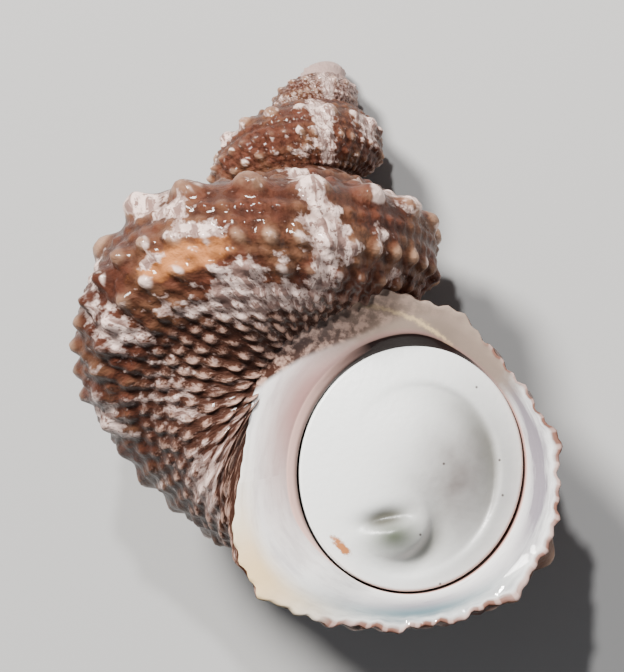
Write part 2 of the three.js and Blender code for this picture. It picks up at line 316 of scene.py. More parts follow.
class ShellColours(PropertyGroup):
    brown: colour("Brown", "Reddish brown ground", (0.098, 0.033, 0.020))
    dark: colour("Dark brown", "Darker brown of the furrows and flecks", (0.028, 0.009, 0.006))
    umber: colour("Umber", "Dark mottling of the base", (0.052, 0.021, 0.014))
    tan: colour("Tan", "Olive tan ground", (0.132, 0.060, 0.033))
    knob: colour("Knob", "Tan tips of the knobs", (0.40, 0.24, 0.155))
    cream: colour("Cream", "Cream of the pale flames", (0.82, 0.61, 0.54))
    base: colour("Base", "Pale mottling of the base", (0.50, 0.31, 0.24))
    ochre: colour("Ochre", "Yellow orange band", (0.47, 0.18, 0.062))
    worn: colour("Worn apex", "Pinkish white of the worn apex", (0.50, 0.35, 0.31))
    pearl: colour("Pearl", "Pearly white round the mouth", (0.95, 0.94, 0.91))
    # Lilac grey, for streaks in the pearl and for the painted sheen on the outer lip.
    lilac: colour("Lilac", "Faint lilac grey in the pearl", (0.19, 0.155, 0.19))
    blue_grey: colour("Blue grey", "Bluish grey line inside the outer lip's margin", (0.105, 0.175, 0.20))
    cream_yellow: colour("Cream yellow", "Yellowish foot of the lip", (0.85, 0.62, 0.33))
    mauve: colour("Mauve", "Mauve of the inner lip by the recess", (0.36, 0.205, 0.185))
    callus: colour("Callus", "Grey olive of the thin callus", (0.30, 0.225, 0.18))
    pink: colour("Recess pink", "Brownish pink of the recess round the lid", (0.80, 0.50, 0.43))
    # Darkest brown, for the painted shade at the top and in the depth of the recess and inside the bores.
    shade: colour("Recess shade", "Darkest brown of the recess", (0.020, 0.010, 0.009))
    salmon: colour("Lip edge", "Salmon brown of the outer lip's margin", (0.215, 0.105, 0.078))
    lid: colour("Lid white", "White of the limy lid", (0.98, 0.99, 0.96))
    # Mauve grey painted shade over the lid's outer side, where its dome slopes away from the light.
    lid_painted_shade: colour("Lid shade", "Mauve grey shade on the lid", (0.100, 0.068, 0.058))
    lid_green: colour("Lid green", "Greenish grey of the lid's boss", (0.070, 0.085, 0.050))
    # Dark olive painted shade in the lid's crease, groove and dimple.
    lid_hollow_shade: colour("Lid dark", "Dark olive in the lid's hollows", (0.060, 0.056, 0.036))


class StageSettings(PropertyGroup):
    floor: colour("Floor", "Pale studio floor", (0.47, 0.465, 0.457))
    lens: FloatProperty(name="Lens", description="Camera focal length", default=400.0,
                        subtype="DISTANCE_CAMERA", unit="CAMERA")
    field: length("Field", "Height of the view across the shell", 40.32)
    aim_right: length("Aim right", "Middle of the view from the apex, to the right in the view", -1.02)
    aim_down: length("Aim down", "Middle of the view from the apex, down in the view", 16.69)
    dip: angle("Camera dip", "How far under the upright shell's horizon the camera looks up from", 27.32)
    swing: angle("Camera swing", "How far round the upright shell the camera stands", 0.54)
    roll: angle("Camera roll", "How far the camera is rolled about its own line of sight", 9.33)
    key: power("Key light", "Power of the main light", 5.0)
    glint: power("Glint light", "Power of the small light that gives sharp highlights", 1.3)
    fill: power("Fill light", "Power of the soft second light", 0.40)
    sky: number("Sky", "Strength of the pale surroundings", 0.14)


# ---------------------------------------------------------------- node helpers

class Net:
    """Adds nodes to a tree. Values may be numbers or sockets, and each call returns the output socket."""

    def __init__(self, tree):
        self.tree = tree

    def node(self, kind, **settings):
        node = self.tree.nodes.new(kind)
        for key, value in settings.items():
            setattr(node, key, value)
        return node

    def put(self, socket, value):
        if isinstance(value, bpy.types.NodeSocket):
            self.tree.links.new(value, socket)
        else:
            socket.default_value = value

    def fed(self, kind, values, **settings):
        """A node with its first inputs set in their order."""
        node = self.node(kind, **settings)
        for socket, value in zip(node.inputs, values):
            self.put(socket, value)
        return node

    def named(self, kind, values, **settings):
        """A node with inputs set by their names."""
        node = self.node(kind, **settings)
        for name, value in values.items():
            self.put(node.inputs[name], value)
        return node

    def math(self, operation, *values):
        return self.fed("ShaderNodeMath", values, operation=operation).outputs[0]

    def add(self, a, b):
        return self.math("ADD", a, b)

    def sub(self, a, b):
        return self.math("SUBTRACT", a, b)

    def mul(self, a, b):
        return self.math("MULTIPLY", a, b)

    def div(self, a, b):
        return self.math("DIVIDE", a, b)

    def sin(self, a):
        return self.math("SINE", a)

    def cos(self, a):
        return self.math("COSINE", a)

    def least(self, a, b):
        return self.math("MINIMUM", a, b)

    def most(self, a, b):
        return self.math("MAXIMUM", a, b)

    def minus(self, a):
        return self.mul(a, -1.0)

    def rest(self, share):
        """What a share leaves of one."""
        return self.sub(1.0, share)

    def total(self, values):
        """The sum of several numbers."""
        whole, *others = values
        for value in others:
            whole = self.add(whole, value)
        return whole

    def reach(self, x, y):
        """Distance from nought on a plane."""
        return self.math("SQRT", self.add(self.mul(x, x), self.mul(y, y)))

    def ragged(self, value, noise, amount):
        """A value that a noise, which runs about a half, pushes up and down."""
        return self.add(value, self.mul(self.sub(noise, 0.5), amount))

    # The mix node has inputs of every type under the same names, so they are picked by their order.
    def mix(self, share, a, b):
        """A number between a and b."""
        node = self.node("ShaderNodeMix", data_type="FLOAT")
        for place, value in zip((0, 2, 3), (share, a, b)):
            self.put(node.inputs[place], value)
        return node.outputs[0]

    def blend(self, share, a, b):
        """A colour between a and b."""
        node = self.node("ShaderNodeMix", data_type="RGBA")
        for place, value in zip((0, 6, 7), (share, a, b)):
            self.put(node.inputs[place], value)
        return node.outputs[2]

    def bell(self, distance, width):
        """1 at no distance, falling off smoothly over the width."""
        ratio = self.div(distance, width)
        return self.math("EXPONENT", self.minus(self.mul(ratio, ratio)))

    def step(self, value, low, high):
        """0 below low and 1 above high, with a smooth change between."""
        return self.fed("ShaderNodeMapRange", (value, low, high), interpolation_type="SMOOTHSTEP").outputs[0]

    def vector(self, x, y, z=0.0):
        return self.fed("ShaderNodeCombineXYZ", (x, y, z)).outputs[0]

    def split(self, vector):
        return tuple(self.fed("ShaderNodeSeparateXYZ", (vector,)).outputs)

    def noise(self, vector, scale, detail=3.0, roughness=0.5, distortion=0.0):
        values = {"Vector": vector, "Scale": scale, "Detail": detail, "Roughness": roughness,
                  "Distortion": distortion}
        return self.named("ShaderNodeTexNoise", values).outputs[0]

    def attribute(self, name):
        """A stored number, for a shader."""
        return self.node("ShaderNodeAttribute", attribute_name=name).outputs["Fac"]

    def bump(self, height, strength, distance):
        values = {"Height": height, "Strength": strength, "Distance": distance}
        return self.named("ShaderNodeBump", values).outputs[0]

    def moved(self, geometry, **values):
        """A geometry that is moved, turned or scaled."""
        values = {name.capitalize(): value for name, value in values.items()}
        return self.named("GeometryNodeTransform", {"Geometry": geometry, **values}).outputs[0]


def turn_from(net, value, centre):
    """Angle from a centre to a value, kept between half a turn back and half a turn on."""
    return net.math("WRAP", net.sub(value, centre), math.pi, -math.pi)


def degrees_from(net, around, at):
    """Angle from a place round the mouth, which is given in degrees."""
    return turn_from(net, around, math.radians(at))


def round_at(net, around, at, width):
    """1 at an angle round the mouth, falling off over a width, both in degrees."""
    return net.bell(degrees_from(net, around, at), math.radians(width))


def turn_at(net, turn, at, width):
    """1 at a turn, falling off over a width in turns."""
    return net.bell(net.sub(turn, at), width)


def on_patch(net, around, turn, patch):
    """The strength of a soft patch of the whorls at a point."""
    place = net.mul(round_at(net, around, patch.at, patch.width), turn_at(net, turn, patch.turn, patch.turns))
    return net.mul(place, patch.strength)


# ---------------------------------------------------------------- growth rule

def whorl_angles(whorl):
    """Angles round a whorl, close together where it shows and wide apart where it is hidden."""
    low, high = (math.radians(side) for side in whorl["shows"])
    shown = np.linspace(low, high, whorl["columns"], endpoint=False)
    hidden = np.linspace(high, low + 2 * math.pi, whorl["rest"], endpoint=False)
    return np.concatenate([shown, hidden])


def on_spiral(sizes, t, outward, upward):
    """Points of the mouth plane carried back along the growth spiral by t turns, as plain numbers."""
    free = sizes.mouth_to_axis + outward + sizes.past_axis
    x = 0.5 * (free + np.hypot(free, sizes.past_axis_blend)) - sizes.past_axis
    y = -upward * math.sin(sizes.mouth_lean)
    z = -sizes.apex_to_mouth + upward * math.cos(sizes.mouth_lean)
    size = sizes.growth ** t
    turned = -2 * math.pi * t
    return np.stack([size * (x * np.cos(turned) - y * np.sin(turned)),
                     size * (x * np.sin(turned) + y * np.cos(turned)),
                     size * z + 0 * x], axis=-1)


def mouth_axes(sizes):
    """Directions of the mouth on the upright shell: outwards, towards the apex, and out of the mouth."""
    side, rise = math.sin(sizes.mouth_lean), math.cos(sizes.mouth_lean)
    return np.array([[1.0, 0.0, 0.0], [0.0, -side, rise], [0.0, -rise, -side]])


def lying_turn(lying):
    """How the upright shell is turned to lie on its back."""
    return Matrix.Rotation(lying.tip, 4, "X") @ Matrix.Rotation(lying.roll, 4, "Z")


def turned_down(points, lying):
    """Points of the upright shell, turned as it lies."""
    return points @ np.array(lying_turn(lying).to_3x3()).T


def laid_down(points, lying):
    """Points of the upright shell, where they are when it lies in its place."""
    return turned_down(points, lying) + np.array([lying.place_x, lying.place_y, lying.place_z])


# ---------------------------------------------------------------- meshes

def mesh_from_rings(name, points, uv=None, marks=None):
    """A closed mesh through rings of points, shape (rings, columns, 3), with single points at both ends."""
    first, rings, last = points
    count, columns, _ = rings.shape
    vertices = np.concatenate([rings.reshape(-1, 3), first[None], last[None]])
    side = np.arange(columns)
    following = (side + 1) % columns
    faces = []
    for base in range(0, (count - 1) * columns, columns):
        above = base + columns
        faces.extend(np.stack([base + side, base + following, above + following, above + side], 1).tolist())
    start, end = count * columns, count * columns + 1
    top = (count - 1) * columns
    faces.extend([start, int(n), int(s)] for s, n in zip(side, following))
    faces.extend([end, int(top + s), int(top + n)] for s, n in zip(side, following))
    mesh = bpy.data.meshes.new(name)
    mesh.from_pydata(vertices.tolist(), [], faces)
    if uv is not None:
        write_growth_map(mesh, uv)
    for key, values in (marks or {}).items():
        layer = mesh.attributes.new(key, "FLOAT", "POINT")
        layer.data.foreach_set("value", values.astype(np.float32))
    mesh.shade_smooth()
    return mesh


def write_growth_map(mesh, uv):
    """UV map of turn and angle. A face that crosses the seam runs on past it, so that it isn't stretched."""
    layer = mesh.uv_layers.new(name="growth")
    corner_vertex = np.empty(len(mesh.loops), dtype=np.int64)
    mesh.loops.foreach_get("vertex_index", corner_vertex)
    values = uv[corner_vertex].copy()
    sizes = np.empty(len(mesh.polygons), dtype=np.int64)
    mesh.polygons.foreach_get("loop_total", sizes)
    face_of_corner = np.repeat(np.arange(len(sizes)), sizes)
    highest = np.zeros(len(sizes))
    np.maximum.at(highest, face_of_corner, values[:, 1])
    wraps = (highest[face_of_corner] - values[:, 1]) > 0.5
    values[wraps, 1] += 1.0
    layer.data.foreach_set("uv", values.astype(np.float32).ravel())


def unrolled(turns, across, angles, piece):
    """A closed tube laid out straight: X is the angle round it, Y the way across its wall and Z the turn.

    Across is 0 on the outside, 1 at the edge of the recess, 2 on the bore wall, 3 deep in the bore and
    ENDS at the closed ends. The UV map holds the turn outside, the way across on the lip, and INSIDE in
    the bores.
    """
    turns, across = turns[:, None], across[:, None]
    rings = np.stack(np.broadcast_arrays(angles, across, turns), axis=-1).astype(float)
    middle = float(angles.mean())
    first, last = (np.array([middle, ENDS, turn]) for turn in (turns[0, 0], turns[-1, 0]))
    around = np.append(rings[..., 0].ravel(), [middle, middle]) / (2 * math.pi)
    along = np.append(np.where(rings[..., 1] > 0, rings[..., 1], rings[..., 2]).ravel(), [ENDS, ENDS])
    if piece >= FIRST_BORE:
        along = np.full(len(along), INSIDE)
    marks = {"piece": np.full(len(along), float(piece))}
    return mesh_from_rings("stretch", (first, rings, last), np.stack([along, around], axis=-1), marks)


def joined(name, meshes):
    """One mesh from several, which keeps their attributes and UV maps."""
    objects = [bpy.data.objects.new(name, mesh) for mesh in meshes]
    for part in objects:
        bpy.context.scene.collection.objects.link(part)
    whole = objects[0]
    with bpy.context.temp_override(active_object=whole, selected_editable_objects=objects):
        bpy.ops.object.join()
    mesh = whole.data
    mesh.name = name
    bpy.data.objects.remove(whole)
    return mesh


def unrolled_shell():
    """Every stretch of whorl and bore laid out straight, ready to be grown."""
    lip = np.concatenate([np.linspace(0, 1, 15)[1:], np.linspace(1, 2, 5)[1:], np.linspace(2, 3, 4)[1:]])
    meshes = []
    for piece, whorl in enumerate(WHORLS):
        # A stretch starts one ring early, so that it overlaps the one behind it.
        step = (whorl["front"] - whorl["back"]) / whorl["rings"]
        turns = np.linspace(whorl["back"] - step, whorl["front"], whorl["rings"] + 2)
        across = np.zeros(len(turns))
        if whorl["front"] == 0:
            turns = np.append(turns, np.zeros(len(lip)))
            across = np.append(across, lip)
        meshes.append(unrolled(turns, across, whorl_angles(whorl), piece))
    angles = np.linspace(-math.pi, math.pi, BORE_COLUMNS, endpoint=False)
    for piece, bore in enumerate(BORES, FIRST_BORE):
        turns = np.linspace(bore["back"], bore["front"], bore["rings"] + 1)
        meshes.append(unrolled(turns, np.zeros(len(turns)), angles, piece))
    return joined("unrolled shell", meshes)


# ---------------------------------------------------------------- growth tree

def shown_name(group, key):
    """The name that a size has on the panel and on the tree's inputs."""
    return group.bl_rna.properties[key].name


def add_inputs(tree, *groups):
    """A named input of the tree for every size in the groups, with the size as its default."""
    for group in groups:
        for key in group.__annotations__:
            prop = group.bl_rna.properties[key]
            socket = tree.interface.new_socket(prop.name, in_out="INPUT", socket_type="NodeSocketFloat")
            socket.default_value = prop.default
            socket.description = prop.description


def sizes_of(net, *groups):
    """The tree's own inputs as sockets, by the name that each size has in the script."""
    node = net.node("NodeGroupInput")
    return {key: node.outputs[shown_name(group, key)] for group in groups for key in group.__annotations__}


def group_tree(name, inputs, output, kind):
    """A node group with number inputs and one output: its net, its input sockets by name, and its output."""
    tree = bpy.data.node_groups.new(name, "GeometryNodeTree")
    for key in inputs:
        tree.interface.new_socket(key, in_out="INPUT", socket_type="NodeSocketFloat")
    tree.interface.new_socket(output, in_out="OUTPUT", socket_type=kind)
    net = Net(tree)
    given = net.node("NodeGroupInput")
    result = net.node("NodeGroupOutput")
    return net, {socket.name: socket for socket in given.outputs if socket.name}, result.inputs[0]


def use_group(net, tree, values):
    """A node for a group, with its inputs set by name."""
    return net.named("GeometryNodeGroup", values, node_tree=tree).outputs[0]


def cord_group():
    """Height of one beaded cord at a turn and an angle. Its beads differ a little from each other."""
    net, given, result = group_tree(
        "Cord", ("Turn", "Angle", "At", "Half width", "Height", "Beads", "Start", "Bead share", "Seed"),
        "Height", "NodeSocketFloat")
    count = net.add(net.mul(given["Turn"], given["Beads"]), given["Start"])
    bead = net.math("ROUND", count)
    from_bead = net.sub(count, bead)
    chance = net.node("FunctionNodeRandomValue", data_type="FLOAT_VECTOR")
    net.put(chance.inputs[0], (-1.0, -1.0, -1.0))
    net.put(chance.inputs[1], (1.0, 1.0, 1.0))
    net.put(chance.inputs["ID"], bead)
    net.put(chance.inputs["Seed"], given["Seed"])
    taller, aside, longer = net.split(chance.outputs[0])
    # Few beads in a turn are far apart, so each is kept narrow by a power of its wave.
    swell = net.add(net.mul(net.cos(net.mul(from_bead, 2 * math.pi)), 0.5), 0.5)
    sharp = net.add(0.55, net.div(17.0, given["Beads"]))
    swell = net.math("POWER", swell, net.add(sharp, net.mul(longer, 0.2)))
    # A bead bends the cord a little aside and widens it.
    crest = net.add(given["At"], net.mul(net.mul(aside, swell), net.mul(given["Half width"], 0.16)))
    width = net.mul(given["Half width"], net.add(0.86, net.mul(swell, 0.2)))
    ridge = net.bell(turn_from(net, given["Angle"], crest), width)
    size = net.add(1.0, net.mul(taller, 0.22))
    share = given["Bead share"]
    along = net.add(net.rest(share), net.mul(net.mul(share, swell), size))
    net.put(result, net.mul(given["Height"], net.mul(ridge, along)))
    return net.tree


# The sizes that the growth spiral takes.
SPIRAL_SIZES = ("growth", "mouth_to_axis", "apex_to_mouth", "mouth_lean", "past_axis", "past_axis_blend")


def spiral_group():
    """Carries a point of the mouth plane back along the growth spiral."""
    names = [shown_name(ShellSizes, key) for key in SPIRAL_SIZES]
    net, given, result = group_tree("Growth spiral", ("Turn", "Outward", "Upward", *names),
                                    "Position", "NodeSocketVector")
    growth, to_axis, to_apex, lean, past, blend = (given[name] for name in names)
    free = net.add(net.add(to_axis, given["Outward"]), past)
    x = net.sub(net.mul(0.5, net.add(free, net.reach(free, blend))), past)
    y = net.minus(net.mul(given["Upward"], net.sin(lean)))
    z = net.sub(net.mul(given["Upward"], net.cos(lean)), to_apex)
    size = net.math("POWER", growth, given["Turn"])
    turned = net.mul(given["Turn"], -2 * math.pi)
    across = net.sub(net.mul(x, net.cos(turned)), net.mul(y, net.sin(turned)))
    along = net.add(net.mul(x, net.sin(turned)), net.mul(y, net.cos(turned)))
    net.put(result, net.vector(*(net.mul(size, way) for way in (across, along, z))))
    return net.tree


def grown(net, stretches, spiral, sizes, turn, outward, upward):
    """The stretches with their points carried along the growth spiral."""
    values = {shown_name(ShellSizes, key): sizes[key] for key in SPIRAL_SIZES}
    place = use_group(net, spiral, {**values, "Turn": turn, "Outward": outward, "Upward": upward})
    return net.named("GeometryNodeSetPosition", {"Geometry": stretches, "Position": place}).outputs[0]


def slipped(net, around, turn):
    """The angle by which rows are placed, with the slips of the front and the left side."""
    down, up = (net.mul(turn_at(net, turn, at, turns), math.radians(slip))
                for at, turns, slip in (FRONT_SLIP, SIDE_SLIP))
    return net.add(around, net.sub(down, up))


def whorl_relief(net, sizes, turn, around):
    """Cords, beads, growth folds and the fluted lip, in metres at the lip's size."""
    cord = cord_group()
    around = slipped(net, around, turn)
    height = net.total([use_group(net, cord, {
        "Turn": turn, "Angle": around, "At": math.radians(row["at"]),
        "Half width": math.radians(row["width"]), "Height": row["height"] * MM, "Beads": row["beads"],
        "Start": row["start"], "Bead share": row["share"], "Seed": float(seed)})
        for seed, row in enumerate(CORDS)])
    # The cords differ in height from place to place.
    wander = net.noise(net.vector(net.mul(turn, 7.0), around), 3.0)
    height = net.mul(height, net.add(0.75, net.mul(wander, 0.5)))
    height = net.math("SMOOTH_MIN", height, TALLEST_BEAD * MM, 0.3 * MM)
    for patch in WORN_CORDS:
        height = net.mul(height, net.rest(on_patch(net, around, turn, patch)))
    folds = net.noise(net.vector(net.mul(turn, GROWTH_FOLDS), net.mul(around, 1.6), 3.0), 1.0, 2.0)
    height = net.ragged(height, folds, 0.30 * MM)
    flutes = net.mul(net.sin(net.mul(around, FLUTES)), net.bell(turn, 0.008))
    height = net.add(height, net.mul(flutes, 0.10 * MM))
    # Growth shrinks the relief with the whorl. This makes it fade more slowly than that.
    fade = net.math("POWER", sizes["growth"], net.mul(net.sub(sizes["relief_fade"], 1.0), turn))
    return net.mul(height, fade)


def mouth_outline(net, sizes, around, turn):
    """Distance from the mouth's centre to its outline, which changes a little along the whorls."""
    waves = net.total([1.0,
                       net.mul(net.sin(net.mul(around, 2.0)), 0.056),
                       net.mul(net.sin(net.mul(around, 3.0)), -0.064),
                       net.mul(net.cos(net.mul(around, 4.0)), 0.0145)])
    outline = net.mul(sizes["mouth_radius"], waves)
    row = slipped(net, around, turn)
    back = net.minus(turn)
    # The ramp above the shoulder is full on the last whorl, and only a trace of it is left on the spire.
    last_whorl = net.mul(net.step(back, 0.03, 0.25), net.rest(net.mul(net.step(back, 1.0, 1.7), 0.8)))
    # The lap onto the whorl before has a second, inner crest.
    lap = net.add(net.bell(turn_from(net, row, sizes["lap_at"]), sizes["lap_width"]),
                  net.mul(round_at(net, row, 143, 24), 0.8))
    outline = net.add(outline, net.mul(sizes["lap"], lap))
    for bulge in BULGES:
        outline = net.add(outline, net.mul(on_patch(net, around, turn, bulge), MM))
    front_at, front_turns, _ = FRONT_SLIP
    ramp = net.mul(net.bell(turn_from(net, around, sizes["ramp_at"]), sizes["ramp_width"]), last_whorl)
    ramp = net.mul(ramp, net.rest(net.mul(turn_at(net, turn, front_at, front_turns), 0.12)))
    # The ramp ends in a shelf above the shoulder.
    shelf = net.mul(round_at(net, row, 51, 16), last_whorl)
    outline = net.sub(outline, net.mul(sizes["ramp_drop"], net.add(ramp, net.mul(shelf, 0.42))))
    # Spire whorls are a little fuller than growth alone makes them.
    spire = net.add(net.mul(net.step(back, 1.1, 1.6), 0.20 * MM),
                    net.mul(net.step(back, 1.9, 2.6), 0.16 * MM))
    outline = net.add(outline, net.mul(spire, net.math("POWER", sizes["growth"], back)))
    return net.sub(outline, net.mul(sizes["base_tuck"], on_patch(net, around, turn, BASE_TUCK)))


def callus_limit(net, around, reach):
    """1 on the rough whorl before, past the callus's edge, and 0 on the callus. Reach is in mm."""
    edge = net.sub(9.8, net.mul(round_at(net, around, 126, 26), 1.25))
    far = net.most(degrees_from(net, around, 150), 0.0)
    past = net.step(net.sub(reach, net.add(edge, net.mul(far, 1.6))), -0.1, 0.35)
    return net.mul(past, round_at(net, around, 150, 42))


def rough_noise(net, outward, upward):
    """The grains of the rough part beside the callus, from a place on the mouth in mm."""
    return net.noise(net.vector(outward, upward), 1.5, 2.0)


def inner_lip(net, around):
    """1 round the inner lip, against the axis and the whorl before, and 0 round the free outer lip."""
    side = net.math("ABSOLUTE", degrees_from(net, around, 170))
    return net.rest(net.step(side, math.radians(62), math.radians(92)))


def part_way(net, across, start):
    """0 until the way across reaches a start, then how far it has gone past it, up to 1."""
    return net.least(net.most(net.sub(across, start), 0.0), 1.0)


def lip_place(net, sizes, around, across, radius):
    """Where a point is on the mouth plane: on the outline, or in from it across the lip to the recess."""
    slope = net.step(round_at(net, around, 152, 72), 0.15, 0.6)
    slope = net.add(0.03 * MM, net.mul(sizes["recess_slope"], slope))
    band, wall, floor = (part_way(net, across, start) for start in (0.0, 1.0, 3.0))
    place = []
    for way, centre, half in ((net.cos(around), sizes["seat_outward"], sizes["seat_half_width"]),
                              (net.sin(around), sizes["seat_upward"], sizes["seat_half_height"])):
        outline = net.mul(radius, way)
        edge = net.add(centre, net.mul(net.add(half, slope), way))
        seat = net.add(centre, net.mul(half, way))
        on_wall = net.mix(wall, net.mix(band, outline, edge), seat)
        place.append(net.mul(on_wall, net.rest(floor)))
    return place


def lip_height(net, sizes, around, across, place):
    """How far a point of the lip stands out of the mouth plane, or sinks into the recess."""
    band, wall, deep = (part_way(net, across, start) for start in (0.0, 1.0, 2.0))
    bevel = net.mul(net.math("POWER", band, 1.3), net.minus(sizes["lip_bevel"]))
    pad = net.math("POWER", net.math("ABSOLUTE", net.sin(net.mul(band, math.pi * 0.94))), 0.7)
    height = net.mix(inner_lip(net, around), bevel, net.mul(pad, sizes["callus_rise"]))
    climb = net.mul(round_at(net, around, 127, 25), sizes["spread_rise"])
    climb = net.mul(climb, net.math("POWER", net.rest(net.step(band, -0.05, 0.9)), 1.5))
    height = net.add(height, climb)
    outward, upward = (net.div(way, MM) for way in place)
    rough = callus_limit(net, around, net.reach(outward, upward))
    rough = net.mul(rough, net.math("GREATER_THAN", across, 0.0))
    grains = net.sub(rough_noise(net, outward, upward), 0.62)
    height = net.add(height, net.mul(net.mul(rough, grains), 1.5 * MM))
    height = net.mix(wall, height, net.minus(sizes["seat_depth"]))
    return net.sub(height, net.mul(deep, sizes["seat_wall"]))


def grown_whorls(net, spiral, sizes, stretches, around, across, turn):
    """The stretches of whorl with their relief, and with the lip's profile from the outline to the bore."""
    relief = whorl_relief(net, sizes, turn, around)
    on_rim = net.rest(net.step(across, 0.0, 0.4))
    on_lip = net.math("GREATER_THAN", across, 0.0)
    keep = net.named("GeometryNodeStoreNamedAttribute",
                     {"Geometry": stretches, "Name": "relief", "Value": net.mul(net.div(relief, MM), on_rim)},
                     data_type="FLOAT", domain="CORNER")
    radius = net.add(mouth_outline(net, sizes, around, turn), net.mul(relief, on_rim))
    spread = net.mul(round_at(net, around, 158, 26), sizes["spread"])
    radius = net.add(radius, net.mul(on_lip, spread))
    place = lip_place(net, sizes, around, across, radius)
    height = lip_height(net, sizes, around, across, place)
    lifted = net.mix(on_lip, turn, net.add(turn, net.div(height, sizes["travel"])))
    return grown(net, keep.outputs[0], spiral, sizes, lifted, *place)


def grown_bore(net, spiral, sizes, stretches, around, across, turn):
    """The stretches of bore, which narrows a little faster than the whorls. Its ends close on its middle."""
    narrow = net.math("POWER", sizes["taper"], net.minus(turn))
    narrow = net.mul(narrow, net.math("LESS_THAN", across, 0.5 * ENDS))
    outward = net.add(sizes["outward"], net.mul(net.mul(sizes["half_width"], narrow), net.cos(around)))
    upward = net.add(sizes["upward"], net.mul(net.mul(sizes["half_height"], narrow), net.sin(around)))
    return grown(net, stretches, spiral, sizes, turn, outward, upward)


def united(net, meshes):
    """One closed mesh from several closed ones."""
    node = net.node("GeometryNodeMeshBoolean", operation="UNION", solver="MANIFOLD")
    for mesh in meshes:
        net.put(node.inputs[1], mesh)
    return node.outputs[0]


def united_stretches(net, stretches, piece):
    """The stretches joined into one closed mesh."""
    values = {"Geometry": stretches, "Group ID": piece}
    return united(net, [net.named("GeometryNodeSplitToInstances", values, domain="FACE").outputs[0]])


def fillings(net, sizes):
    """The blunt first whorl, a pillar up the axis, and a pad between the base and the inner lip."""
    nucleus = net.named("GeometryNodeMeshIcoSphere", {"Radius": sizes["nucleus_radius"], "Subdivisions": 4})
    pillar = net.named("GeometryNodeMeshCone", {
        "Vertices": 24,
        "Radius Top": net.mul(sizes["pillar_slope"], sizes["pillar_top"]),
        "Radius Bottom": net.mul(sizes["pillar_slope"], sizes["pillar_bottom"]),
        "Depth": net.sub(sizes["pillar_bottom"], sizes["pillar_top"])})
    pad = net.named("GeometryNodeMeshIcoSphere", {"Radius": sizes["pad_radius"], "Subdivisions": 5})
    pad_place = net.vector(0.0, net.minus(sizes["pad_forward"]), net.minus(sizes["pad_down"]))
    nucleus_place, pillar_place = (net.vector(0.0, 0.0, net.minus(sizes[key]))
                                   for key in ("nucleus_depth", "pillar_bottom"))
    return [net.moved(nucleus.outputs[0], translation=nucleus_place),
            net.moved(pillar.outputs[0], translation=pillar_place),
            net.moved(pad.outputs[0], translation=pad_place, scale=(1.0, 1.0, 2.4))]


def without_crumbs(net, geometry):
    """The mesh without the loose bits of wall that the cuts leave."""
    island = net.node("GeometryNodeInputMeshIsland")
    values = {"Value": 1, "Group ID": island.outputs["Island Index"]}
    count = net.named("GeometryNodeAccumulateField", values, data_type="INT", domain="POINT")
    large = net.math("GREATER_THAN", count.outputs["Total"], FEWEST_POINTS)
    return net.fed("GeometryNodeSeparateGeometry", (geometry, large), domain="POINT").outputs[0]


def shell_tree(material):
    """Grows the stretches round the axis, joins them, cuts the body chamber and lays the shell down."""
    tree = bpy.data.node_groups.new("Turban shell growth", "GeometryNodeTree")
    tree.interface.new_socket("Unrolled stretches", in_out="INPUT", socket_type="NodeSocketGeometry")
    add_inputs(tree, ShellSizes, BoreSizes, RecessSizes, LyingShell)
    tree.interface.new_socket("Shell", in_out="OUTPUT", socket_type="NodeSocketGeometry")
    net = Net(tree)
    sizes = sizes_of(net, ShellSizes, BoreSizes, RecessSizes, LyingShell)
    stretches = net.node("NodeGroupInput").outputs[0]
    mark = net.named("GeometryNodeInputNamedAttribute", {"Name": "piece"}, data_type="FLOAT")
    piece = net.math("ROUND", mark.outputs[0])
    of_whorl = net.math("LESS_THAN", piece, FIRST_BORE)
    kinds = net.fed("GeometryNodeSeparateGeometry", (stretches, of_whorl), domain="FACE")
    spiral = spiral_group()
    flat_place = net.split(net.node("GeometryNodeInputPosition").outputs[0])
    whorls = grown_whorls(net, spiral, sizes, kinds.outputs[0], *flat_place)
    bores = grown_bore(net, spiral, sizes, kinds.outputs[1], *flat_place)
    whole, hollow = (united_stretches(net, made, piece) for made in (whorls, bores))
    whole = united(net, [whole, *fillings(net, sizes)])
    cut = net.fed("GeometryNodeMeshBoolean", (whole, hollow), operation="DIFFERENCE", solver="MANIFOLD")
    shell = without_crumbs(net, cut.outputs[0])

    place = net.vector(sizes["place_x"], sizes["place_y"], sizes["place_z"])
    shell = net.moved(shell, rotation=net.vector(0.0, 0.0, sizes["roll"]))
    shell = net.moved(shell, rotation=net.vector(sizes["tip"], 0.0, 0.0), translation=place)
    shell = net.named("GeometryNodeSetShadeSmooth", {"Geometry": shell}).outputs[0]
    shell = net.named("GeometryNodeRealizeInstances", {"Geometry": shell}).outputs[0]
    shell = net.named("GeometryNodeSetMaterial", {"Geometry": shell, "Material": material}).outputs[0]
    net.put(net.node("NodeGroupOutput").inputs[0], shell)
    return tree


# ---------------------------------------------------------------- lid

def lid_rim(sizes, bore, lid, depth, angles, trim=0.0):
    """The lid's edge at a depth below the lip, on the upright shell, as plain numbers."""
    t = -depth / sizes.travel
    narrow = bore.taper ** -t
    inset = lid.gap + trim
    outward = bore.outward + (bore.half_width * narrow - inset) * np.cos(angles)
    upward = bore.upward + (bore.half_height * narrow - inset) * np.sin(angles)
    return on_spiral(sizes, t, outward, upward)


def plain_lid(sizes, bore, lid, angles, rings):
    """Rings of the plain plug that the lid is carved from, from its inner pole to its outer one."""
    normal = mouth_axes(sizes)[2]
    front = lid_rim(sizes, bore, lid, lid.sink, angles)
    back = lid_rim(sizes, bore, lid, lid.sink + lid.edge, angles)

    def face(rim, rise):
        centre = rim.mean(axis=0)
        shares = 1 - np.arange(1, rings + 1) / (rings + 1)
        return [centre + (rim - centre) * share + normal * rise * (1 - share ** 2) for share in shares]

    return face(back, -lid.back)[::-1] + [back, front] + face(front, lid.crown)


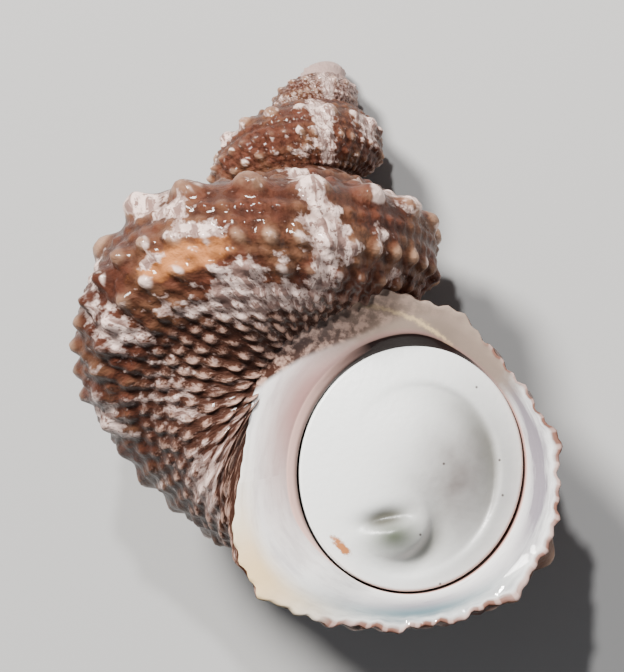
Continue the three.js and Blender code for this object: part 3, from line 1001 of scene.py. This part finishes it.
def place_shell(sizes, bore, lid, lying):
    """Moves the lying shell so that its plain lid fills the frame's own lid."""
    angles = np.linspace(-math.pi, math.pi, 40, endpoint=False)
    turned = turned_down(np.concatenate(plain_lid(sizes, bore, lid, angles, 4)), lying)
    low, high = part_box("operculum")
    middle = (np.array(low) + np.array(high)) / 2 - (turned.min(axis=0) + turned.max(axis=0)) / 2
    lying.place_x, lying.place_y, lying.place_z = middle.tolist()


def near(value, width):
    """1 where the value is nought, falling off smoothly over the width."""
    return np.exp(-(value / width) ** 2)


def on_oval(x, y, oval):
    """1 in the middle of a soft oval on the lid, falling off towards its ends and sides."""
    tilt = math.radians(oval.tilt)
    x, y = x - oval.x, y - oval.y
    return (near(x * math.cos(tilt) + y * math.sin(tilt), oval.length)
            * near(y * math.cos(tilt) - x * math.sin(tilt), oval.width))


def lid_relief(x, y, share):
    """Height of the outer face over its plain crown, in mm, and how hollow and how raised each point is.

    X runs outwards and Y towards the apex, in mm from the lid's middle. Share is the way to the rim.
    """
    around = np.arctan2(y, x)
    past = share - (0.775 - 0.063 * around)
    crease = near(past, np.where(past < 0, 0.20, 0.045)) * near(around - math.radians(22), math.radians(62))
    boss, dimple, swell = (on_oval(x, y, oval) for oval in (BOSS, DIMPLE, SWELL))
    centre_x, centre_y, radius = GROOVE
    past = np.hypot(x - centre_x, y - centre_y) - radius
    ring_angle = np.arctan2(y - centre_y, x - centre_x) + math.radians(28)
    groove = near(past, np.where(past < 0, 0.35, 0.85)) * near(ring_angle, math.radians(58))
    height = 0.50 * boss - 0.46 * dimple - 0.46 * groove - 0.52 * crease + 0.30 * swell
    # How hollow each point is, which the lid's material darkens as painted shade.
    hollow = np.clip(0.9 * dimple + 0.55 * groove + 0.55 * crease, 0, 1)
    return height, hollow, boss


def lid_mesh(sizes, bore, lid, lying):
    """The lid with its rim, crease, boss and dimple, as one closed mesh laid in its place."""
    columns, rings = 192, 60
    angles = np.linspace(-math.pi, math.pi, columns, endpoint=False)
    outwards, upwards, normal = mouth_axes(sizes)
    shift = outwards * lid.aside + upwards * lid.along
    front = lid_rim(sizes, bore, lid, lid.sink, angles, lid.trim) + shift
    back = lid_rim(sizes, bore, lid, lid.sink + lid.edge, angles, lid.trim) + shift
    centre, back_centre = front.mean(axis=0), back.mean(axis=0)
    rows, hollows, bosses = [], [], []

    def add_row(points, hollow=0.0, boss=0.0):
        rows.append(points)
        hollows.append(np.zeros(columns) + hollow)
        bosses.append(np.zeros(columns) + boss)

    # The inner face, the upright edge, the rounded rim and then the outer face.
    for share in np.linspace(0, 1, 14)[1:-1]:
        add_row(back_centre + (back - back_centre) * share - normal * lid.back * (1 - share ** 2))
    for share in np.linspace(0, 1, 6):
        lowered = lid.rounding if share == 1 else 0.0
        add_row(back + (front - back) * share - normal * lowered)
    spokes = front - centre
    inwards = spokes / np.linalg.norm(spokes, axis=1, keepdims=True)
    for turn in np.linspace(0, math.pi / 2, 6)[1:]:
        tucked = lid.rounding * (1 - math.cos(turn))
        lowered = lid.rounding * (1 - math.sin(turn))
        add_row(front - inwards * tucked - normal * lowered)
    inner = rows[-1]
    for share in np.linspace(1, 0, rings)[1:-1] ** 0.9:
        flat = (inner - centre) * share
        height, hollow, boss = lid_relief(flat @ outwards / MM, flat @ upwards / MM, share)
        plateau = min(1.0, (1 - share) / 0.10)
        crown = lid.crown * (1 - share ** 2)
        add_row(centre + flat + normal * (crown + plateau * height * MM)[:, None], hollow, boss)
    height, hollow, boss = (float(value[0]) for value in lid_relief(np.zeros(1), np.zeros(1), 0.0))
    first = back_centre - normal * lid.back
    last = centre + normal * (lid.crown + height * MM)
    marks = {"hollow": np.append(np.concatenate(hollows), [0.0, hollow]),
             "boss": np.append(np.concatenate(bosses), [0.0, boss])}
    points = [laid_down(part, lying) for part in (first, np.array(rows), last)]
    return mesh_from_rings("operculum", points, marks=marks)


# ---------------------------------------------------------------- materials

def new_material(name):
    """A new material with the net of its nodes and its shader."""
    material = bpy.data.materials.new(name)
    material.use_nodes = True
    return material, Net(material.node_tree), material.node_tree.nodes["Principled BSDF"]


def mouth_place(net, sizes, lying):
    """Where a point is from the mouth's centre, in mm outwards and towards the apex."""
    turn = lying_turn(lying).to_3x3()
    middle = turn @ Vector((sizes.mouth_to_axis, 0, -sizes.apex_to_mouth))
    middle += Vector((lying.place_x, lying.place_y, lying.place_z))
    place = net.node("ShaderNodeTexCoord").outputs["Object"]
    found = []
    for way in mouth_axes(sizes)[:2]:
        way = turn @ Vector(way) / MM
        dot = net.fed("ShaderNodeVectorMath", (place, way), operation="DOT_PRODUCT")
        found.append(net.sub(dot.outputs["Value"], middle.dot(way)))
    return found


def flat_map(net, turn, around, depth=0.0):
    """A flat map of the whorls for the noises, so that they grow with the shell."""
    return net.vector(net.mul(turn, MAP_TURN), around, depth)


def growth_lines(net, turn, around, waviness, detail, roughness=0.5, distortion=0.0):
    """Fine lines across the whorls, where the shell stopped growing for a while."""
    place = net.vector(net.mul(turn, GROWTH_LINES), net.mul(around, waviness), 5.0)
    return net.noise(place, 1.0, detail, roughness, distortion)


def pale_share(net, turn, around, relief, broad, fine):
    """1 on the cream flames, rays and streaks of the whorls, with ragged edges."""
    pale = [on_patch(net, around, turn, patch) for patch in PALE]
    ray_width = net.mix(net.step(net.minus(turn), 1.1, 1.5), 0.017, 0.023)
    from_ray = net.add(net.sub(turn, RAY), net.mul(broad, 0.05))
    ray = net.bell(net.math("WRAP", from_ray, 0.5, -0.5), ray_width)
    above = net.rest(net.step(net.math("ABSOLUTE", degrees_from(net, around, 0)), 0.9, 1.3))
    pale.append(net.mul(net.mul(ray, above), 0.85))
    pale.append(net.mul(net.step(broad, 0.54, 0.66), 0.42))
    pale.append(net.mul(net.step(relief, 0.5, 1.0), 0.14))
    return net.step(net.ragged(net.total(pale), fine, 1.9), 0.34, 0.74)


def body_colour(net, colours, turn, around, relief):
    """Brown and cream whorls with an orange band, and how near to the base a point is."""
    flat = flat_map(net, turn, around)
    broad = net.noise(flat, 1.3, 4.0, 0.6)
    fine = net.noise(flat, 7.0, 3.0, 0.55)
    flecks = net.noise(flat, 16.0, 3.0, 0.6)
    lines = growth_lines(net, turn, around, 3.2, 3.0, 0.6, 0.4)

    # The brown ground, darker in the furrows, with the orange band and the lighter knobs.
    colour = net.blend(net.step(broad, 0.42, 0.62), colours.brown, colours.tan)
    colour = net.blend(net.mul(net.step(fine, 0.46, 0.66), 0.7), colour, colours.dark)
    orange = net.ragged(on_patch(net, around, turn, ORANGE_BAND), fine, 0.8)
    colour = net.blend(net.step(orange, 0.30, 0.75), colour, colours.ochre)
    furrow = net.rest(net.step(relief, -0.05, 0.30))
    colour = net.blend(net.mul(furrow, 0.72), colour, colours.dark)
    # Painted shade darkens the left side of the last whorl.
    colour = net.blend(on_patch(net, around, turn, PAINTED_SIDE_SHADE), colour, colours.dark)
    tips = net.mul(net.step(relief, 0.45, 1.1), net.step(broad, 0.35, 0.6))
    colour = net.blend(net.mul(tips, 0.7), colour, colours.knob)
    white_tips = net.mul(net.step(relief, 0.55, 0.95), net.step(net.noise(flat, 3.2, 2.0), 0.54, 0.62))
    colour = net.blend(net.mul(white_tips, 0.8), colour, colours.cream)

    # The pale flames, with brown lines and flecks left in them.
    pale = pale_share(net, turn, around, relief, broad, fine)
    colour = net.blend(pale, colour, colours.cream)
    marks = net.most(net.step(lines, 0.47, 0.57), net.step(flecks, 0.54, 0.62))
    marks = net.most(marks, net.mul(furrow, 0.75))
    colour = net.blend(net.mul(net.mul(marks, pale), 0.8), colour, colours.brown)

    # The mottled base and the worn apex.
    from_base = net.math("ABSOLUTE", degrees_from(net, around, -130))
    under = net.rest(net.step(from_base, math.radians(48), math.radians(72)))
    mottle = net.add(net.noise(flat, 11.0, 5.0, 0.75), net.mul(relief, 0.75))
    mottled = net.blend(net.step(mottle, 0.60, 0.86), colours.umber, colours.base)
    colour = net.blend(net.mul(net.mul(under, 0.85), net.rest(net.mul(pale, 0.8))), colour, mottled)
    worn = net.rest(net.step(net.ragged(turn, fine, 1.6), -3.2, -2.6))
    return net.blend(worn, colour, colours.worn), under


def callus_colour(net, colours, around, outward, upward, colour):
    """The thin grey callus over the whorl before, with its cream line, and how thick its glaze is."""
    grain = net.noise(net.vector(outward, upward), 2.5, 4.0, 0.7)
    glaze = net.add(round_at(net, around, 108, 34), round_at(net, around, 66, 24))
    glaze = net.step(net.ragged(glaze, grain, 0.35), 0.2, 1.0)
    colour = net.blend(glaze, colour, colours.callus)
    path = net.add(7.9, net.mul(degrees_from(net, around, 75), 3.8))
    from_path = net.sub(net.ragged(net.reach(outward, upward), grain, 0.8), path)
    line = net.mul(net.bell(from_path, 0.16), round_at(net, around, 88, 20))
    return net.blend(net.mul(line, 0.8), colour, colours.cream_yellow), glaze


def margin_colour(net, colours, around, across, streak, colour):
    """The outer lip's salmon margin with its pale tips, and the blue grey line inside it."""
    outer = net.step(net.math("ABSOLUTE", degrees_from(net, around, -22)), math.radians(84), math.radians(94))
    edge = net.ragged(across, streak, 0.16)
    blue = net.mul(round_at(net, around, -74, 42), net.bell(net.sub(edge, 0.38), 0.22))
    colour = net.blend(net.mul(blue, 0.95), colour, colours.blue_grey)
    margin = net.mul(net.rest(outer), net.rest(net.step(edge, 0.08, 0.17)))
    tips = net.total([round_at(net, around, at, width) for at, width in PALE_TIPS])
    tips = net.add(tips, net.mul(net.step(net.sin(net.mul(around, FLUTES)), 0.3, 0.9), 0.7))
    return net.blend(margin, colour, net.blend(net.least(tips, 1.0), colours.salmon, colours.worn))


def lip_colour(net, colours, across, around, place):
    """Pearly lip with painted sheen, callus, margin and recess with painted shade, how thick the glaze is,
    and where the grains are.
    """
    outward, upward = place
    streak = net.noise(net.vector(net.mul(around, 2.2), net.mul(across, 5.0)), 1.6, 4.0, 0.6)
    colour = net.blend(net.mul(net.step(streak, 0.40, 0.70), 0.3), colours.pearl, colours.lilac)
    # Cream at the foot, mauve beside the recess, and lilac grey painted sheen up the outer side.
    foot = net.mul(round_at(net, around, -138, 26), net.rest(net.step(across, 0.2, 0.55)))
    colour = net.blend(foot, colour, colours.cream_yellow)
    inner = net.mul(round_at(net, around, 158, 58), net.step(across, 0.05, 0.95))
    colour = net.blend(inner, colour, colours.mauve)
    # Painted sheen: lilac grey over the outer side of the lip and its foot.
    painted_sheen = net.add(net.mul(round_at(net, around, 18, 46), 1.3), net.mul(round_at(net, around, -75, 28), 0.8))
    painted_sheen = net.mul(painted_sheen, net.bell(net.sub(net.ragged(across, streak, 0.5), 0.58), 0.30))
    colour = net.blend(net.least(painted_sheen, 0.9), colour, colours.lilac)
    colour, glaze = callus_colour(net, colours, around, outward, upward, colour)
    # The whorl before shows past the callus, with its grains.
    rough = callus_limit(net, around, net.reach(outward, upward))
    grains = net.mul(rough_noise(net, outward, upward), 0.6)
    freckles = net.mul(net.noise(net.vector(outward, upward, 3.0), 2.6, 4.0, 0.7), 0.5)
    whorl = net.blend(net.step(net.add(grains, freckles), 0.50, 0.66), colours.umber, colours.base)
    colour = net.blend(rough, colour, whorl)
    colour = margin_colour(net, colours, around, across, streak, colour)
    # The recess: brownish pink, with painted shade that is darkest above and deeper in, and a mauve painted
    # shade along its upper edge.
    dark = net.add(net.mul(round_at(net, around, 96, 38), 1.5), net.mul(net.step(across, 1.5, 2.0), 0.75))
    recess = net.blend(net.least(dark, 1.0), colours.pink, colours.shade)
    # Mauve painted shade along the recess's upper edge.
    rim_shade = net.mul(net.bell(net.sub(across, 0.97), 0.06), round_at(net, around, 100, 75))
    colour = net.blend(net.mul(rim_shade, 0.7), colour, colours.mauve)
    return net.blend(net.step(across, 0.97, 1.05), colour, recess), glaze, rough


def shell_material(colours, sizes, lying):
    """Glossy brown and cream shell with a pearly lip, coloured along its own growth."""
    material, net, shader = new_material("glossy beaded shell")
    growth = net.node("ShaderNodeUVMap", uv_map="growth")
    along, side, _ = net.split(growth.outputs[0])
    turn = net.least(along, 0.0)
    across = net.least(net.most(along, 0.0), ENDS)
    around = net.mul(side, 2 * math.pi)
    on_lip = net.step(along, -0.001, 0.004)
    body, under = body_colour(net, colours, turn, around, net.attribute("relief"))
    lip, glaze, granular = lip_colour(net, colours, across, around, mouth_place(net, sizes, lying))
    colour = net.blend(on_lip, body, lip)
    # Painted shade: the inside of the bores takes the recess's darkest brown.
    colour = net.blend(net.math("GREATER_THAN", along, 0.5 * INSIDE), colour, colours.shade)
    net.put(shader.inputs["Base Color"], colour)
    flat = flat_map(net, turn, around, net.mul(across, 0.3))
    rough = net.add(0.34, net.mul(net.noise(flat, 9.0), 0.16))
    rough = net.add(rough, net.mul(net.mul(under, net.rest(on_lip)), 0.10))
    net.put(shader.inputs["Roughness"], net.mix(on_lip, rough, net.add(0.26, net.mul(glaze, 0.16))))
    shader.inputs["Specular IOR Level"].default_value = 0.1
    shader.inputs["Specular Tint"].default_value = (0.5, 0.4, 0.35, 1.0)
    shader.inputs["Coat Weight"].default_value = 0.26
    shader.inputs["Coat Roughness"].default_value = 0.03
    grain = net.noise(flat, 15.0, 4.0, 0.6)
    lines = growth_lines(net, turn, around, 3.0, 2.0)
    height = net.add(net.mul(grain, 0.8), net.mul(lines, 0.7))
    strength = net.mix(on_lip, 0.9, net.add(0.15, net.mul(granular, 0.7)))
    net.put(shader.inputs["Normal"], net.bump(height, strength, 0.19 * MM))
    return material


def oval_shade(net, x, y, oval):
    """The same soft oval as on_oval gives, for a shader."""
    tilt = math.radians(oval.tilt)
    x, y = net.sub(x, oval.x), net.sub(y, oval.y)
    along = net.add(net.mul(x, math.cos(tilt)), net.mul(y, math.sin(tilt)))
    aside = net.sub(net.mul(y, math.cos(tilt)), net.mul(x, math.sin(tilt)))
    return net.mul(net.bell(along, oval.length), net.bell(aside, oval.width))


def lid_material(colours, sizes, lying):
    """White lime with mauve grey painted shade over its outer side and dark olive painted shade in the
    hollows, greenish on the boss, with a few specks and one stain.
    """
    material, net, shader = new_material("limy lid")
    right, up = (net.sub(way, LID_OFFSET) for way in mouth_place(net, sizes, lying))
    flat = net.vector(right, up)
    # Painted shade: mauve grey over the lid's outer side, where its dome slopes away from the light, broken
    # up by a cloud noise.
    cloud = net.add(0.58, net.mul(net.noise(flat, 0.55, 4.0), 0.4))
    colour = net.blend(net.mul(oval_shade(net, right, up, LID_SIDE_SHADE_OVAL), cloud), colours.lid, colours.lid_painted_shade)
    colour = net.blend(net.mul(net.attribute("boss"), 0.95), colour, colours.lid_green)
    # Painted shade in the hollows: the crease, the groove round the boss and the dimple go dark olive.
    hollow = net.step(net.attribute("hollow"), 0.02, 0.85)
    colour = net.blend(net.mul(hollow, 0.92), colour, colours.lid_hollow_shade)
    stain = net.mul(oval_shade(net, right, up, STAIN), net.noise(flat, 3.0, 4.0, 0.7))
    colour = net.blend(net.step(stain, 0.22, 0.42), colour, colours.ochre)
    for across, along in SPECKS:
        away = net.reach(net.sub(right, across), net.sub(up, along))
        colour = net.blend(net.mul(net.rest(net.step(away, 0.03, 0.11)), 0.85), colour, colours.dark)
    net.put(shader.inputs["Base Color"], colour)
    shader.inputs["Roughness"].default_value = 0.32
    shader.inputs["Coat Weight"].default_value = 0.12
    shader.inputs["Coat Roughness"].default_value = 0.22
    net.put(shader.inputs["Normal"], net.bump(net.noise(flat, 2.4), 0.4, 0.05 * MM))
    return material


# ---------------------------------------------------------------- operators

def finished_piece(name, mesh, node, material=None):
    """Puts a finished mesh in the scene and tells the frame what it is."""
    mesh.name = name
    piece = bpy.data.objects.new(name, mesh)
    bpy.context.scene.collection.objects.link(piece)
    if material:
        mesh.materials.append(material)
    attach(piece, BODY)
    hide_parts(node)


def mesh_through(tree, mesh, values):
    """The mesh that a tree makes from another one."""
    carrier = bpy.data.objects.new("growing", mesh)
    bpy.context.scene.collection.objects.link(carrier)
    modifier = carrier.modifiers.new("Growth", "NODES")
    modifier.node_group = tree
    sockets = {item.name: item.identifier for item in tree.interface.items_tree
               if item.item_type == "SOCKET" and item.in_out == "INPUT"}
    for name, value in values.items():
        modifier[sockets[name]] = value
    graph = bpy.context.evaluated_depsgraph_get()
    made = bpy.data.meshes.new_from_object(carrier.evaluated_get(graph))
    bpy.data.objects.remove(carrier)
    bpy.data.meshes.remove(mesh)
    return made


def named_values(*groups):
    """Every size in the groups by its shown name."""
    return {shown_name(group, key): getattr(group, key)
            for group in groups for key in type(group).__annotations__}


class TURBAN_OT_shell(Operator):
    """Grow the beaded shell from its mouth outline"""

    bl_idname = "turban.shell"
    bl_label = "Grow shell"

    def execute(self, context):
        scene = context.scene
        sizes, bore, lying = scene.shell_sizes, scene.bore_sizes, scene.lying_shell
        place_shell(sizes, bore, scene.lid_sizes, lying)
        tree = shell_tree(shell_material(scene.shell_colours, sizes, lying))
        values = named_values(sizes, bore, scene.recess_sizes, lying)
        mesh = mesh_through(tree, unrolled_shell(), values)
        if not mesh.polygons:
            raise RuntimeError("The shell's stretches did not join.")
        finished_piece("turban_shell", mesh, "shell")
        return {"FINISHED"}


class TURBAN_OT_lid(Operator):
    """Make the limy lid that closes the mouth"""

    bl_idname = "turban.lid"
    bl_label = "Make lid"

    def execute(self, context):
        scene = context.scene
        place_shell(scene.shell_sizes, scene.bore_sizes, scene.lid_sizes, scene.lying_shell)
        mesh = lid_mesh(scene.shell_sizes, scene.bore_sizes, scene.lid_sizes, scene.lying_shell)
        material = lid_material(scene.shell_colours, scene.shell_sizes, scene.lying_shell)
        finished_piece("limy_operculum", mesh, "operculum", material)
        return {"FINISHED"}


def camera_turn(stage, lying):
    """The camera's turn: it is set against the upright shell and laid down with it."""
    side = Vector((math.cos(stage.swing), math.sin(stage.swing), 0))
    rise = Vector((math.sin(stage.swing) * math.sin(stage.dip),
                   -math.cos(stage.swing) * math.sin(stage.dip),
                   math.cos(stage.dip)))
    right = math.cos(stage.roll) * side + math.sin(stage.roll) * rise
    up = math.cos(stage.roll) * rise - math.sin(stage.roll) * side
    turn = Matrix((right, up, right.cross(up))).transposed()
    return lying_turn(lying).to_3x3() @ turn


def soft_light(name, place, target, width, power, colour):
    """A round area light that looks at a point."""
    light = bpy.data.lights.new(name, "AREA")
    light.shape = "DISK"
    light.size = width
    light.energy = power
    light.color = colour
    lamp = bpy.data.objects.new(name, light)
    lamp.location = place
    lamp.rotation_euler = (target - place).to_track_quat("-Z", "Y").to_euler()
    bpy.context.scene.collection.objects.link(lamp)


def studio_floor(stage):
    """A plain floor under the shell, which is no part of it."""
    mesh = bpy.data.meshes.new("studio_floor")
    corners = [(x * FLOOR_HALF, y * FLOOR_HALF, 0) for x, y in ((-1, -1), (1, -1), (1, 1), (-1, 1))]
    mesh.from_pydata(corners, [], [(0, 1, 2, 3)])
    material, net, shader = new_material("pale floor")
    net.put(shader.inputs["Base Color"], stage.floor)
    shader.inputs["Roughness"].default_value = 0.9
    mesh.materials.append(material)
    floor = bpy.data.objects.new("studio_floor", mesh)
    bpy.context.scene.collection.objects.link(floor)


def camera_at(stage, aim, turn):
    """The camera, far back from the point that it looks at."""
    camera = bpy.data.cameras.new("camera")
    camera.lens = stage.lens
    camera.sensor_fit = "VERTICAL"
    camera.sensor_height = SENSOR_HEIGHT
    camera.clip_start = 0.01
    distance = stage.field * camera.lens / camera.sensor_height
    holder = bpy.data.objects.new("camera", camera)
    holder.matrix_world = Matrix.Translation(aim + turn.col[2] * distance) @ turn.to_4x4()
    bpy.context.scene.collection.objects.link(holder)
    return holder


class TURBAN_OT_stage(Operator):
    """Set out the floor, the lights and the camera"""

    bl_idname = "turban.stage"
    bl_label = "Set stage"

    def execute(self, context):
        scene = context.scene
        stage, lying = scene.stage_settings, scene.lying_shell
        place_shell(scene.shell_sizes, scene.bore_sizes, scene.lid_sizes, lying)
        turn = camera_turn(stage, lying)
        right, up, back = turn.col
        apex = Vector((lying.place_x, lying.place_y, lying.place_z))
        aim = apex + right * stage.aim_right - up * stage.aim_down
        scene.camera = camera_at(stage, aim, turn)
        studio_floor(stage)
        middle = Vector((0, 0, 0.5 * CAD_BOX[1].z))
        for name, light in LIGHTS.items():
            place = middle + light["back"] * back + light["right"] * right + light["up"] * up
            soft_light(f"{name} light", place, middle, light["width"], getattr(stage, name), light["colour"])
        world = bpy.data.worlds.new("studio")
        world.use_nodes = True
        sky = world.node_tree.nodes["Background"]
        sky.inputs["Color"].default_value = SKY_COLOUR
        sky.inputs["Strength"].default_value = stage.sky
        scene.world = world
        return {"FINISHED"}


class TURBAN_PT_panel(Panel):
    """Lists the steps that make the turban shell"""

    bl_idname = "TURBAN_PT_panel"
    bl_label = "Turban shell"
    bl_space_type = "VIEW_3D"
    bl_region_type = "UI"
    bl_category = "Turban shell"

    def draw(self, context):
        for step in STEPS:
            self.layout.operator(step.bl_idname)
        for key, group in GROUPS.items():
            box = self.layout.box()
            box.label(text=key.replace("_", " ").capitalize())
            for name in group.__annotations__:
                box.prop(getattr(context.scene, key), name)


GROUPS = {
    "shell_sizes": ShellSizes,
    "bore_sizes": BoreSizes,
    "recess_sizes": RecessSizes,
    "lying_shell": LyingShell,
    "lid_sizes": LidSizes,
    "shell_colours": ShellColours,
    "stage_settings": StageSettings,
}
STEPS = (TURBAN_OT_stage, TURBAN_OT_shell, TURBAN_OT_lid)


def register():
    for group in GROUPS.values():
        bpy.utils.register_class(group)
    for step in (*STEPS, TURBAN_PT_panel):
        bpy.utils.register_class(step)
    for key, group in GROUPS.items():
        setattr(bpy.types.Scene, key, PointerProperty(type=group))


def unregister():
    for key in GROUPS:
        delattr(bpy.types.Scene, key)
    for step in (TURBAN_PT_panel, *reversed(STEPS)):
        bpy.utils.unregister_class(step)
    for group in reversed(GROUPS.values()):
        bpy.utils.unregister_class(group)


def main():
    register()
    bpy.ops.turban.stage()
    bpy.ops.turban.shell()
    bpy.ops.turban.lid()


if __name__ == "__main__":
    main()
